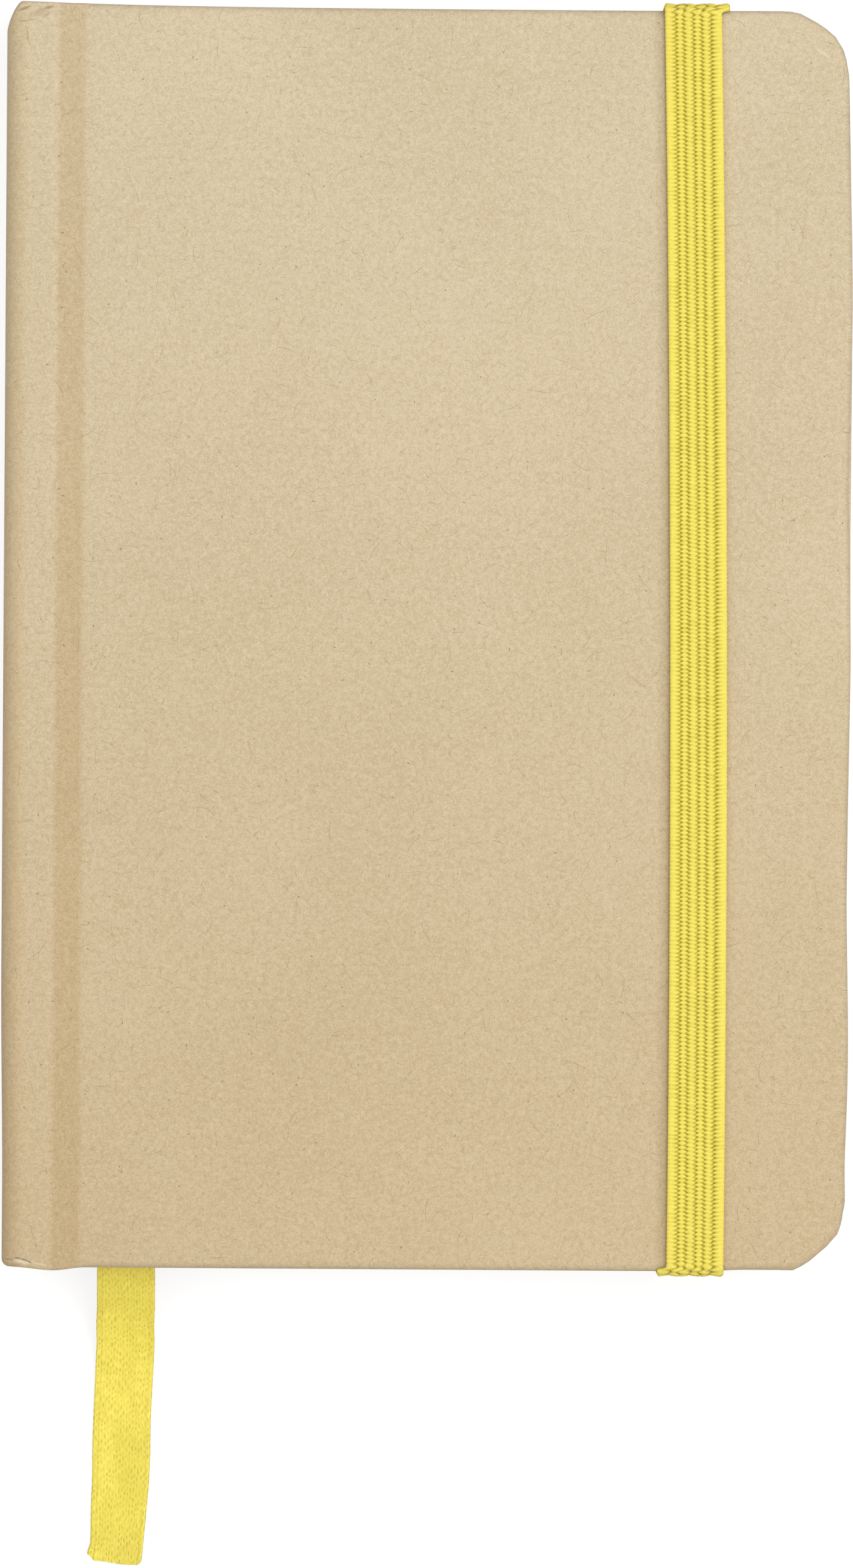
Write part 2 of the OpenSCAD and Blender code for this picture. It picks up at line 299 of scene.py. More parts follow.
def kraft_grain(n):
    """Clouds, flocks and fine grain of the recycled paper."""
    where = n.object_coordinates()
    clouds = n.noise(where, 40, 2, 0.5)
    flocks = n.noise(where, 1700, 2, 0.5)
    grain = n.noise(where, 4600, 2, 0.6)
    dust = n.noise(where, 11000, 1, 0.5)
    mixed = n.math("ADD", n.math("MULTIPLY", flocks, 0.31), n.math("MULTIPLY", grain, 0.43))
    mixed = n.math("ADD", mixed, n.math("MULTIPLY", dust, 0.26))
    mixed = n.math("ADD", mixed, n.math("MULTIPLY", n.math("SUBTRACT", clouds, 0.5), 0.15))
    return n.blend_colour(n.band(mixed, 0.37, 0.63), KRAFT_DARK, KRAFT_LIGHT), mixed


def kraft_fibres(n, colour):
    """Hairs of other tones: many short pale and brown ones, fewer long orange and dark ones."""
    # Shift of the pattern, then cell, reach and half width in millimetres, bend, share of the
    # cells that hold a hair, tone and strength
    layers = (
        (0.30, 0.50, 0.26, 0.036, 0.8, 0.9, KRAFT_PALE, 0.42),
        (0.31, 0.62, 0.30, 0.034, 0.8, 0.9, KRAFT_PALE, 0.38),
        (0.32, 0.54, 0.26, 0.036, 0.8, 0.9, KRAFT_BROWN, 0.30),
        (0.33, 0.70, 0.32, 0.034, 0.8, 0.8, KRAFT_BROWN, 0.32),
        (0.34, 1.4, 0.70, 0.048, 0.7, 0.65, FIBRE_ORANGE, 0.40),
        (0.35, 2.8, 1.25, 0.050, 0.6, 0.6, FIBRE_ORANGE, 0.42),
        (0.36, 4.4, 1.5, 0.045, 0.5, 0.5, FIBRE_BROWN, 0.48),
        (0.38, 1.6, 0.45, 0.050, 0.5, 0.4, FIBRE_BROWN, 0.46),
    )
    for shift, cell, reach, half_width, bend, share, tone, strength in layers:
        hairs = n.strands(shift, cell * MM, reach * MM, half_width * MM, bend, share)
        colour = n.blend_colour(n.math("MULTIPLY", hairs, strength), colour, tone)
    specks = n.strands(0.37, 2.4 * MM, 0.16 * MM, 0.07 * MM, 0.3, 0.16)
    return n.blend_colour(n.math("MULTIPLY", specks, 0.7), colour, SPECK)


# Marks on the front cover, some of them painted shade and painted highlights of creases: place in
# millimetres from the spine and from the head or the tail, half sizes along and across the mark, its
# turn, tone and strength
# Head marks: brown smudges and thin crease lines, with a brown patch of painted shade below the smudges,
# and a pale streak near the fore-edge corner
HEAD_MARKS_AND_SHADE = (
    (1.9, -0.5, 1.0, 0.22, 0.35, FIBRE_BROWN, 0.75), (4.6, -0.4, 0.8, 0.26, 0.25, FIBRE_BROWN, 0.65),
    (3.6, -0.95, 1.6, 0.55, 0.35, KRAFT_BROWN, 0.38), (2.3, -1.85, 1.5, 0.12, 0.16, FIBRE_BROWN, 0.45),
    (4.4, -1.2, 0.9, 0.13, 0.6, FIBRE_BROWN, 0.4), (2.25, -3.5, 0.14, 1.2, 0.17, KRAFT_BROWN, 0.55),
    (91.5, -4.9, 1.4, 0.26, -0.65, KRAFT_PALE, 0.45),
)
# Tail marks: the pale ones are painted highlights below the crack, the brown ones are smudges
TAIL_MARKS_AND_HIGHLIGHTS = (
    (2.4, 0.62, 1.3, 0.24, -0.22, KRAFT_PALE, 0.62), (4.5, 0.36, 1.1, 0.18, -0.15, KRAFT_PALE, 0.42),
    (1.0, 0.85, 0.9, 0.16, 0.0, FIBRE_BROWN, 0.6), (1.8, 0.3, 0.8, 0.12, -0.1, FIBRE_BROWN, 0.3),
)
# The crack at the tail: its dark lines are painted shade of the crease, and their depth also gives the
# bump
TAIL_CRACK_SHADE = (
    (1.95, 1.02, 0.55, 0.1, -0.1, SPECK, 0.7), (2.75, 0.84, 0.55, 0.1, -0.3, SPECK, 0.75),
    (3.3, 0.62, 0.4, 0.09, -0.45, SPECK, 0.7),
)


def kraft_marks(n, colour, marks, edge):
    """Draws soft marks on the front cover, beside its edge at Y, and gives their depth."""
    depth = 0.0
    for x, y, along, across, turn, tone, strength in marks:
        size = (along * MM, across * MM, 4 * MM)
        mark = n.smudge((X_SPINE + x * MM, edge + y * MM, Z_FRONT), size, turn)
        mark = n.math("MULTIPLY", mark, strength)
        colour = n.blend_colour(mark, colour, tone)
        depth = n.math("MAXIMUM", mark, depth)
    return colour, depth


def elastic_shadow(n, colour):
    """Painted shadow of the elastic: the paper darker under it, and a little past it towards the spine.
    """
    w = n.math("DIVIDE", n.place("Y"), Y_HEAD)
    bow = n.math("MULTIPLY", n.math("MULTIPLY", w, w), BAND_BOW)
    sway = n.math("SUBTRACT", n.math("SUBTRACT", BAND_SHIFT, n.math("MULTIPLY", w, BAND_SKEW)), bow)
    off = n.math("SUBTRACT", n.math("SUBTRACT", n.place("X"), band_low.x), sway)
    under = n.math("MULTIPLY", n.band(off, -1.6 * MM, -0.3 * MM), n.band(off, 6.3 * MM, 5.5 * MM))
    face = n.band(n.place("Z"), Z_FRONT - 1 * MM, Z_FRONT - 0.4 * MM)
    # Painted shadow: darker beside the elastic towards the spine and under it, on the outer face only
    return n.blend_colour(n.math("MULTIPLY", under, face), colour, KRAFT_BAND_SHADOW, "MULTIPLY")


def kraft_wear(n, colour):
    """Painted shade: darker and warmer towards the tail, warmer on the shoulder and in the groove, darker
    in the groove's inner half, and the elastic's shadow; then marks at three corners, some of them
    painted shade and highlights of creases.
    """
    # Painted shade: the paper darker and warmer towards the tail
    tail_shade = n.band(n.place("Y"), Y_HEAD, -Y_HEAD)
    colour = n.blend_colour(tail_shade, colour, KRAFT_TAIL_SHADE, "MULTIPLY")
    x = n.place("X")
    # Painted shade: a warmer tint on the shoulder and all through the groove
    after = n.band(x, X_GROOVE - 1.9 * MM, X_GROOVE - 1.1 * MM)
    inner = n.math("MULTIPLY", after, n.band(x, X_GROOVE + 0.9 * MM, X_GROOVE - 0.4 * MM))
    groove = n.math("MULTIPLY", after, n.band(x, X_FLAT + 0.2 * MM, X_FLAT - 0.8 * MM))
    shoulder = n.band(x, X_SPINE + 3 * MM, X_SPINE + 1.2 * MM)
    colour = n.blend_colour(n.math("MAXIMUM", groove, shoulder), colour, KRAFT_WARM_SHADE, "MULTIPLY")
    # Painted shade: the groove's inner half darker, as a recess
    colour = n.blend_colour(inner, colour, KRAFT_GROOVE_SHADE, "MULTIPLY")
    # Painted shadow of the elastic
    colour = elastic_shadow(n, colour)
    colour, _ = kraft_marks(n, colour, HEAD_MARKS_AND_SHADE, Y_HEAD)
    colour, _ = kraft_marks(n, colour, TAIL_MARKS_AND_HIGHLIGHTS, -Y_HEAD)
    return kraft_marks(n, colour, TAIL_CRACK_SHADE, -Y_HEAD)


def kraft_paper():
    """Unbleached kraft paper, matt, with its grain, fibres, wear and painted shade."""
    n = Nodes("kraft paper")
    colour, grain = kraft_grain(n)
    colour = kraft_fibres(n, colour)
    colour, cracks = kraft_wear(n, colour)
    height = n.math("SUBTRACT", n.math("MULTIPLY", grain, 0.35), cracks)
    return n.finish(colour, 0.86, n.bump(height, 0.00012, 0.6), Specular_IOR_Level=0.22,
                    Sheen_Weight=0.12, Sheen_Roughness=0.35)


def rule_lines(n, colour):
    """Grey lines across the page, from below the head to above the tail."""
    place = n.place("Y")
    top, end = Y_HEAD - RULE_TOP, -Y_HEAD + RULE_END
    step = n.math("PINGPONG", n.math("SUBTRACT", place, top - 400 * RULE_PITCH), RULE_PITCH / 2)
    line = n.band(step, RULE_HALF * 1.4, RULE_HALF * 0.6)
    below = n.band(place, top + RULE_PITCH * 0.4, top + RULE_PITCH * 0.39)
    above = n.band(place, end, end + 0.1 * MM)
    faded = n.math("MULTIPLY", n.math("MULTIPLY", line, n.math("MULTIPLY", below, above)), 0.7)
    return n.blend_colour(faded, colour, RULE_GREY)


def page_paper(name, ruled=False):
    """Uncoated ivory paper, plain or ruled."""
    n = Nodes(name)
    where = n.object_coordinates()
    grain = n.noise(where, 1600, 3, 0.6)
    clouds = n.noise(where, 60, 2, 0.5)
    colour = n.blend_colour(grain, PAGE_DARK, PAGE_LIGHT)
    colour = n.blend_colour(n.band(clouds, 0.3, 0.7, 0, 0.3), colour, PAGE_CLOUD)
    if ruled:
        colour = rule_lines(n, colour)
    return n.finish(colour, 0.85, n.bump(grain, 0.00002, 0.6), Specular_IOR_Level=0.2)


def gauze():
    """Threads of the lining, set in clear glue."""
    n = Nodes("gauze in glue")
    threads = [n.math("PINGPONG", n.place(axis), 0.4 * MM) for axis in ("X", "Y", "Z")]
    weave = n.math("MINIMUM", n.math("MINIMUM", threads[0], threads[1]), threads[2])
    thread = n.band(weave, 0.12 * MM, 0.04 * MM)
    colour = n.blend_colour(thread, GAUZE_GLUE, GAUZE_THREAD)
    return n.finish(colour, 0.6, n.bump(thread, 0.08 * MM, 0.7), Specular_IOR_Level=0.4)


def woven_elastic():
    """Yellow thread, with painted shade between the stitches and between its strands."""
    n = Nodes("woven elastic")
    relief = n.add("ShaderNodeAttribute", attribute_name="relief").outputs["Fac"]
    strands = n.noise(n.uv((0.16, 1, 1)), 11000, 2, 0.6)
    fuzz = n.noise(n.object_coordinates(), 2600, 2, 0.6)
    # Painted shade: the colour follows the weave's relief, deep in the valleys between stitches, and the
    # strands' gaps darker
    colour = n.blend_colour(n.band(relief, 0.02, 0.90), ELASTIC_SHADE, ELASTIC_BRIGHT)
    colour = n.blend_colour(n.band(strands, 0.50, 0.30, 0, 0.22), colour, ELASTIC_SHADE)
    colour = n.blend_colour(n.band(fuzz, 0.52, 0.75, 0, 0.30), colour, ELASTIC_FUZZ)
    height = n.math("ADD", strands, n.math("MULTIPLY", fuzz, 0.6))
    return n.finish(colour, 0.75, n.bump(height, 0.00004, 0.6), Specular_IOR_Level=0.22,
                    Sheen_Weight=0.1, Sheen_Roughness=0.4)


def satin_ribbon():
    """Satin weave: lengthwise threads, each with short dark places where a cross thread holds it."""
    n = Nodes("satin ribbon")
    uv = n.add("ShaderNodeSeparateXYZ", {"Vector": n.uv()})
    sway = n.math("SUBTRACT", n.noise(n.uv((1, 0.4, 1)), 1500, 2, 0.5), 0.5)
    across, along = uv.outputs["X"], uv.outputs["Y"]
    column = n.math("ADD", n.math("DIVIDE", across, SATIN_THREAD), n.math("MULTIPLY", sway, 1.1))
    column = n.math("ADD", column, 40.0)
    number = n.math("FLOOR", column)
    scatter = n.add("ShaderNodeTexWhiteNoise", {"W": number}, noise_dimensions="1D").outputs["Value"]
    start = n.math("ADD", n.math("MULTIPLY", number, 0.4), n.math("MULTIPLY", scatter, 0.5))
    drift = n.math("MULTIPLY", n.noise(n.uv((1, 0.6, 1)), 700, 2, 0.5), 2.4)
    phase = n.math("ADD", start, n.math("DIVIDE", along, SATIN_FLOAT))
    phase = n.math("FRACT", n.math("ADD", phase, drift))
    dash = n.band(n.math("ABSOLUTE", n.math("SUBTRACT", phase, 0.5)), 0.38, 0.10)
    side = n.band(n.math("ABSOLUTE", n.math("SUBTRACT", n.math("FRACT", column), 0.5)), 0.36, 0.06)
    patches = n.band(n.noise(n.uv((1, 0.5, 1)), 1100, 2, 0.6), 0.35, 0.62, 0.35, 1.0)
    dark = n.math("MULTIPLY", n.math("MULTIPLY", dash, side), patches)
    streaks = n.noise(n.uv((1, 0.2, 1)), 6200, 2, 0.6)
    # Painted shade along soft creases of the ribbon
    crease_shade = n.noise(n.uv((1, 0.5, 1)), 420, 2, 0.5)
    selvedge = n.stripe(n.math("ABSOLUTE", across), 2.66 * MM, 2.84 * MM, 0.08 * MM)
    stitched = n.band(n.math("PINGPONG", along, 0.3 * MM), 0.10 * MM, 0.2 * MM, 0.5, 1.0)
    # Painted shade: a darker patch where the loose ribbon tilts away from the light
    crushed = n.smudge((X_SPINE + 14.4 * MM, -Y_HEAD - 22 * MM, 2 * MM), (3 * MM, 6 * MM, 8 * MM))
    colour = n.blend_colour(n.band(streaks, 0.34, 0.66), RIBBON_SHADE, RIBBON_BRIGHT)
    colour = n.blend_colour(n.math("MULTIPLY", dark, 0.50), colour, RIBBON_DEEP)
    border = n.math("MULTIPLY", selvedge, stitched)
    colour = n.blend_colour(n.math("MULTIPLY", border, 0.18), colour, RIBBON_DEEP)
    colour = n.blend_colour(n.band(crease_shade, 0.58, 0.40, 0, 0.10), colour, RIBBON_DEEP)
    # Painted shade of the tilted patch
    colour = n.blend_colour(n.math("MULTIPLY", crushed, 0.2), colour, RIBBON_DEEP)
    height = n.math("SUBTRACT", n.math("MULTIPLY", streaks, 0.8), n.math("ADD", dark, selvedge))
    return n.finish(colour, 0.55, n.bump(height, 0.00005, 0.6), Specular_IOR_Level=0.35,
                    Sheen_Weight=0.12, Sheen_Roughness=0.3)


def bell(u):
    """A smooth bump, 1 at 0 and level with the ground at -1 and 1."""
    return (1 + math.cos(math.pi * u)) / 2 if abs(u) < 1 else 0


def face_height(x):
    """The front's outer face: the shoulder's ridge, the groove and the flat cover."""
    if x < X_GROOVE:
        return Z_RIDGE - (GROOVE_DEPTH - RIDGE_DROP) * bell((x - X_GROOVE) / GROOVE_INNER)
    return Z_FRONT - GROOVE_DEPTH * bell((x - X_GROOVE) / GROOVE_OUTER)


def edge_angles(steps):
    """Angles round a rounded edge, past the flat and up to the rim."""
    return [math.pi / 2 * (k + 1) / steps for k in range(steps)]


def half_outline(x):
    """How far the cover reaches along Y at x, with its corner round."""
    past = x - (X_FORE - CORNER_R)
    if past <= 0:
        return Y_HEAD
    return Y_HEAD - CORNER_R + math.sqrt(max(0, CORNER_R ** 2 - past ** 2))


# How far the folded paper stands out from the round at the front cover's corners, in
# millimetres, at angles from the fore-edge towards the head or the tail
HEAD_CORNER = ((0, -0.38), (12, -0.41), (22, -0.26), (34, 0), (48, -0.13), (64, -0.15),
               (77, 0.08), (90, 0.05))
TAIL_CORNER = ((0, -0.06), (10, -0.17), (18, -0.07), (29, 0.03), (38, -0.18), (50, -0.27), (62, -0.13),
               (74, 0.1), (84, -0.15), (90, -0.22))


def along_steps(steps, value):
    """The value between the two nearest of some (place, value) steps, with a smooth change."""
    for (a, low), (b, high) in zip(steps, steps[1:]):
        if value <= b:
            return mix(low, high, smoothstep(a, b, value))
    return steps[-1][1]


def worn_corner(dx, dy, head):
    """How far handling has moved the front cover's edge beside and round a corner, in metres."""
    steps = HEAD_CORNER if head else TAIL_CORNER
    out_x, out_y = max(0, dx) / CORNER_R, max(0, dy) / CORNER_R
    if dy <= 0:
        before = max(0, 1 + dy / (17 * MM)) ** 2 if head else smoothstep(-12 * MM, 0, dy)
        return steps[0][1] * MM * before * out_x ** 3, 0
    if dx <= 0:
        return 0, steps[-1][1] * MM * smoothstep(-9 * MM, -3 * MM, dx) * out_y ** 3
    turn = math.degrees(math.atan2(dy, dx))
    reach = math.hypot(dx, dy)
    swell = along_steps(steps, turn) * MM * (reach / CORNER_R) ** 3
    return dx / reach * swell, dy / reach * swell


# The case's unevenness in plan: the wave of the front's fore-edge, its length and its shift,
# the back's even growth, how the spine edge spreads, the rise of the head edge towards the
# spine, the crushed corner at the head of the spine and the bulge at its tail
WAVE, WAVE_LENGTH, WAVE_SHIFT = 0.16 * MM, 41 * MM, 3.2 * MM
BACK_GROWTH, FORE_NOISE = 0.1 * MM, 0.1 * MM
SPINE_SPREAD, SPINE_SETBACK = 0.25 * MM, 0.12 * MM
HEAD_RISE, HEAD_RISE_WIDTH, HEAD_DROP = 0.72 * MM, 16 * MM, 0.30 * MM
CRUSH_DEPTH, CRUSH_WIDTH = 2.6 * MM, 1.7 * MM
BULGE, BULGE_AT, BULGE_INNER, BULGE_OUTER = 0.34 * MM, 6 * MM, 4.6 * MM, 3.4 * MM


def worn_fore_edge(x, y, front):
    """How far the fore-edge stands out beside a point."""
    before_corner = 1 - smoothstep(-6 * MM, 0, abs(y) - (Y_HEAD - CORNER_R))
    near_fore = smoothstep(X_FORE - 6 * MM, X_FORE, x) * before_corner
    wave = WAVE * math.cos(2 * math.pi * (y + WAVE_SHIFT) / WAVE_LENGTH) if front else BACK_GROWTH
    rough = noise.noise(Vector((y * 60, 2.5, 0.5 if front else 8.5)))
    return near_fore * (wave + FORE_NOISE * rough)


def worn_spine_edge(from_spine, y):
    """How far the spine edge stands out: less near the tail."""
    spread = SPINE_SPREAD * smoothstep(-62 * MM, -38 * MM, y) - SPINE_SETBACK
    return spread * (1 - smoothstep(0, 14 * MM, from_spine))


def worn_head(from_spine, y):
    """How far the head edge stands out, with its crushed corner at the spine."""
    rise = HEAD_RISE * math.exp(-from_spine / HEAD_RISE_WIDTH) - HEAD_DROP
    crushed = max(0, 1 - from_spine / CRUSH_WIDTH) ** 1.5
    crushed *= CRUSH_DEPTH * smoothstep(Y_HEAD - 8 * MM, Y_HEAD, y)
    return rise * smoothstep(Y_HEAD - 12 * MM, Y_HEAD, y) - crushed


def worn_tail(from_spine, y):
    """How far the tail edge of the front bulges beside the spine."""
    off = from_spine - BULGE_AT
    width = BULGE_INNER if off < 0 else BULGE_OUTER
    return BULGE * bell(off / width) * smoothstep(Y_HEAD - 12 * MM, Y_HEAD, -y)


def worn(x, y, front):
    """Moves a point of the case by its small unevenness in plan."""
    head = y > 0
    from_spine = x - X_SPINE
    move_x = worn_fore_edge(x, y, front) - worn_spine_edge(from_spine, y)
    move_y = 0
    if front:
        dx, dy = x - (X_FORE - CORNER_R), abs(y) - (Y_HEAD - CORNER_R)
        corner_x, corner_y = worn_corner(dx, dy, head)
        move_x += corner_x
        move_y += corner_y * (1 if head else -1)
    if head:
        move_y += worn_head(from_spine, y)
    elif front:
        move_y -= worn_tail(from_spine, y)
    return x + move_x, y + move_y


def edge_distance(x, y):
    """How far a point lies inside the cover's edge."""
    past_x, past_y = x - (X_FORE - CORNER_R), abs(y) - (Y_HEAD - CORNER_R)
    if past_x > 0 and past_y > 0:
        return CORNER_R - math.hypot(past_x, past_y)
    return min(X_FORE - x, Y_HEAD - abs(y))


def wrap_columns():
    """The wrap's path from the middle of the spine to the fore-edge: place, inward way, thickness."""
    columns = []
    for k in range(5):
        columns.append((X_SPINE, mix(Z_MID, Z_RIDGE - SHOULDER_R, k / 5), (1, 0), SPINE_T))
    for k in range(13):
        a = math.pi - math.pi / 2 * k / 12
        x = X_SPINE + SHOULDER_R + SHOULDER_R * math.cos(a)
        z = Z_RIDGE - SHOULDER_R + SHOULDER_R * math.sin(a)
        columns.append((x, z, (-math.cos(a), -math.sin(a)), mix(SPINE_T, 0.9 * MM, smoothstep(4, 12, k))))
    start = X_SPINE + SHOULDER_R
    steps = 34
    for k in range(1, steps + 1):
        x = mix(start, X_FLAT + 1.2 * MM, k / steps)
        slope = (face_height(x + 1e-6) - face_height(x - 1e-6)) / 2e-6
        size = math.hypot(1, slope)
        thick = mix(0.9 * MM, 2 * KRAFT_T, smoothstep(start, X_GROOVE - 2 * MM, x))
        thick = mix(thick, COVER_T, smoothstep(X_GROOVE + 0.8 * MM, X_FLAT + 0.7 * MM, x))
        columns.append((x, face_height(x), (slope / size, -1 / size), thick))
    start = X_FLAT + 1.2 * MM
    end = X_FORE - EDGE_R
    steps = 84
    for k in range(1, steps + 1):
        columns.append((mix(start, end, k / steps), Z_FRONT, (0, -1), COVER_T))
    for a in edge_angles(6):
        columns.append((X_FORE - EDGE_R + EDGE_R * math.sin(a), Z_FRONT, (0, -1), COVER_T))
    return columns


def wrap_rows():
    """Rows of one column's closed loop: which face, and a place along Y as (share, edge angle)."""
    angles = edge_angles(6)
    steps = 150
    inner = [(2 * k / steps - 1, 0.0, 0) for k in range(steps + 1)]
    low = [(-1, a, -1) for a in reversed(angles)]
    high = [(1, a, 1) for a in angles]
    across = low + inner + high
    return [(True, *row) for row in across] + [(False, *row) for row in reversed(across)]


def paper_relief(p):
    """Small waves in the glued paper, in metres."""
    wide = noise.noise(Vector((p[0], p[1], p[2])) * 90 + Vector((3.1, 7.7, 1.3)))
    fine = noise.noise(Vector((p[0], p[1], p[2])) * 420)
    return 0.035 * MM * wide + 0.012 * MM * fine


def wrap_point(column, row, back):
    """A point of the wrap: on its rounded edge, in its turn-in or on its face, then worn."""
    x, z, (in_x, in_z), thick = column
    top, share, angle, side = row
    r = min(EDGE_R, thick / 2 * 0.98)
    reach = half_outline(x)
    y = share * (reach - r) + side * r * math.sin(angle)
    gap = edge_distance(x, y)
    short = max(0, r - gap)
    depth = r - math.sqrt(max(0, r * r - short * short))
    if not top:
        depth = thick - depth
        if x > X_FLAT + 1.5 * MM and gap > TURN_IN:
            depth -= KRAFT_T
    elif x > X_SPINE + 0.01 * MM:
        depth -= paper_relief((x, y, z if not back else z + 0.1))
    px, pz = x + in_x * depth, z + in_z * depth
    px, py = worn(px, y, not back)
    if back:
        pz = 2 * Z_MID - pz
    return Vector((px, py, pz))


def loop_grid(name, stations, around, place, materials):
    """A tube with closed ends from a grid. place(i, j) gives a point, its UV and its relief."""
    bm = bmesh.new()
    bmesh.ops.create_grid(bm, x_segments=stations - 1, y_segments=around, size=1)
    relief_layer = bm.verts.layers.float.new("relief")
    uv_layer = bm.loops.layers.uv.new("UVMap")
    charts = {}
    for vert in bm.verts:
        i = round((vert.co.x + 1) / 2 * (stations - 1))
        j = round((vert.co.y + 1) / 2 * around) % around
        vert.co, charts[vert], vert[relief_layer] = place(i, j)
    for face in bm.faces:
        for corner in face.loops:
            corner[uv_layer].uv = charts[corner.vert]
    bmesh.ops.remove_doubles(bm, verts=bm.verts, dist=1e-8)
    rims = [edge for edge in bm.edges if edge.is_boundary]
    caps = bmesh.ops.holes_fill(bm, edges=rims, sides=0)["faces"]
    bmesh.ops.triangulate(bm, faces=caps)
    bmesh.ops.recalc_face_normals(bm, faces=bm.faces)
    for edge in rims:
        edge.smooth = False
    return new_object(name, bm, materials)


def kraft_wrap(name, material, back):
    """One half of the case's paper, with rounded edges and the part turned in inside the cover."""
    columns, rows = wrap_columns(), wrap_rows()
    return loop_grid(name, len(columns), len(rows),
                     lambda i, j: (wrap_point(columns[i], rows[j], back), (0, 0), 0.0), [material])


def leaf_points(z, shift, rng):
    """Outline of one leaf at a height, from the fold at the spine round the fore-edge."""
    section = (block_high.z - block_low.z) / SECTIONS
    fold_r = section / 2
    from_middle = (z - block_low.z) % section - fold_r
    x0 = block_low.x + fold_r - math.sqrt(max(0, fold_r ** 2 - from_middle ** 2))
    x1 = block_high.x + shift + rng.uniform(-0.05, 0.02) * MM
    y1 = block_high.y + rng.uniform(-0.06, 0.0) * MM
    r = PAGE_CORNER_R
    arc = [(x1 - r + r * math.cos(a), y1 - r + r * math.sin(a))
           for a in (math.pi / 2 * k / 9 for k in range(10))]
    return [(x0, -y1)] + [(x, -y) for x, y in reversed(arc)] + arc + [(x0, y1)]


def pages(paper, ruled):
    """The leaves one by one, so that the edges of the block show them."""
    rng = random.Random(5)
    count = SECTIONS * LEAVES
    pitch = (block_high.z - block_low.z) / count
    bm = bmesh.new()
    for k in range(count):
        low = block_low.z + k * pitch
        drift = 0.05 * MM * math.sin(k * 0.9) - 0.04 * MM
        outline = leaf_points(low + pitch / 2, drift, rng)
        verts = [bm.verts.new((x, y, low + pitch * 0.04)) for x, y in outline]
        face = bm.faces.new(verts)
        if face.normal.z > 0:
            face.normal_flip()
        top = bmesh.ops.extrude_face_region(bm, geom=[face], use_keep_orig=True)["geom"]
        bmesh.ops.translate(bm, verts=[g for g in top if isinstance(g, bmesh.types.BMVert)],
                            vec=(0, 0, pitch * 0.92))
        if k == count - 1:
            for g in top:
                if isinstance(g, bmesh.types.BMFace):
                    g.material_index = 1
    bmesh.ops.recalc_face_normals(bm, faces=bm.faces)
    return new_object("page_leaves", bm, [paper, ruled], smooth=False)


# The elastic's ribs: their widths in millimetres and the slant of their stitches, and the
# length of a stitch, the thickness under the stitches and their height
BAND_COLUMNS = (1.19, 0.88, 1.08, 0.93, 1.05, 1.27)
BAND_SLANTS = (0.22, 0.0, 0.5, 0.0, 0.45, -0.3)
BAND_PICK = 0.465 * MM
BAND_BODY = 0.48 * MM
BAND_RELIEF = 0.24 * MM
PICK_STEPS = 6

# Where the slits in the back cover lie, how tightly the elastic bends round the covers' edges
# and how far it presses into them
SLIT_Y = Y_HEAD - 8.7 * MM
BAND_BEND_R = 0.8 * MM
BAND_SINK = 0.1 * MM


def band_route():
    """The elastic's inner face in Y and Z with its outward way, from glued end to glued end."""
    r = BAND_BEND_R
    side = Y_HEAD - BAND_SINK
    bend = [math.pi / 2 * k / 8 for k in range(9)]
    half = [(0, Z_FRONT, 0, 1)]
    half += [(side - r + r * math.sin(a), Z_FRONT - r + r * math.cos(a), math.sin(a), math.cos(a))
             for a in bend]
    half += [(side - r + r * math.cos(a), Z_BACK + r - r * math.sin(a), math.cos(a), -math.sin(a))
             for a in bend]
    half += [(SLIT_Y, Z_BACK, 0, -1), (SLIT_Y - 0.1 * MM, Z_BACK + 0.3 * MM, -0.8, -0.6),
             (SLIT_Y - 0.1 * MM, Z_BACK + 1.6 * MM, -1, 0)]
    return [(-y, z, -ny, nz) for y, z, ny, nz in reversed(half[1:])] + half


def even_steps(route, step):
    """Points a step apart along a route, each with its distance along it."""
    result, travelled, due = [], 0.0, 0.0
    for a, b in zip(route, route[1:]):
        span = math.hypot(b[0] - a[0], b[1] - a[1])
        while due <= travelled + span:
            t = (due - travelled) / span
            result.append(([mix(p, q, t) for p, q in zip(a, b)], due))
            due += step
        travelled += span
    return result


def band_border(index, phase):
    """A border between two ribs, in millimetres from the left edge: each stitch pushes it over."""
    place = sum(BAND_COLUMNS[:index])
    if index == 0:
        return place - 0.03 * math.cos(2 * math.pi * phase)
    swing = 0.035 if index == len(BAND_COLUMNS) else 0.12
    swing *= 1 + 0.5 * noise.noise(Vector((phase * 0.6, index * 2.3, 9.1)))
    return place + swing * math.cos(2 * math.pi * (phase - 0.5 * (index - 1)))


def band_chart():
    """Places across the elastic's outer face: rib number and share of its width."""
    inside = (0.0, 0.1, 0.3, 0.55, 0.8)
    return [(k, v) for k in range(len(BAND_COLUMNS)) for v in inside] + [(len(BAND_COLUMNS) - 1, 1.0)]


def stitch(rib, v, phase):
    """Height of the weave, 0 to 1, at a share v across a rib: notches open where stitches meet."""
    outermost = rib in (0, len(BAND_COLUMNS) - 1)
    inward = v if rib == len(BAND_COLUMNS) - 1 else 1 - v
    border = abs(2 * v - 1) ** 1.6
    if outermost:
        border = max(0, 1 - 1.7 * inward) ** 1.6
    wobble = 0.16 * noise.noise(Vector((phase * 0.37, rib * 3.7, 1.7)))
    turn = phase - 0.5 * rib + BAND_SLANTS[rib] * (v - 0.5) + wobble
    pick = (0.5 + 0.5 * math.cos(2 * math.pi * turn)) ** 0.7
    valley = mix(0.66, 0.04, border)
    if outermost:
        valley = mix(valley, 0.68 if rib == 0 else 0.85, smoothstep(0.55, 1, inward))
    own = 1 + 0.22 * noise.noise(Vector((round(turn) * 1.71, rib * 5.3, 4.4)))
    return min(1, own * mix(valley, 1, pick) * (1 - 0.56 * border ** 2))


